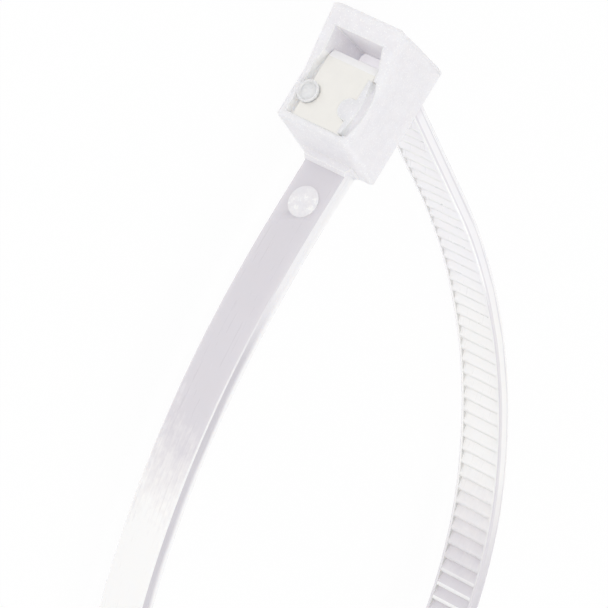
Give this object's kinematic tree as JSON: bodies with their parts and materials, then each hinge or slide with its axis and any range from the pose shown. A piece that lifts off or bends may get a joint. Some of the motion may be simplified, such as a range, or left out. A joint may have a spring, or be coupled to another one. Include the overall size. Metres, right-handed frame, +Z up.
{
  "type": "self-cutting cable tie",
  "caption": "Nylon cable tie pulled into a closed loop, with a boxy head that holds a staked steel blade over the tail slot.",
  "frame": {"origin": "on the surface that the tie lies on, below the middle of the tail slot in the head", "axes": "+X along the head from the tail slot towards the strap's root, +Y from the head's exit face through its bundle face into the loop, +Z up, across the strap"},
  "size_m": [0.0691, 0.0628, 0.0081],
  "materials": {
    "nylon": "natural uncoloured nylon, milky, satin, with a fine moulded grain",
    "steel": "matte stamped strip steel with a bright ground bevel"
  },
  "bodies": {
    "root": {"tie_body": "nylon", "cutting_blade": "steel"}
  },
  "joints": []
}
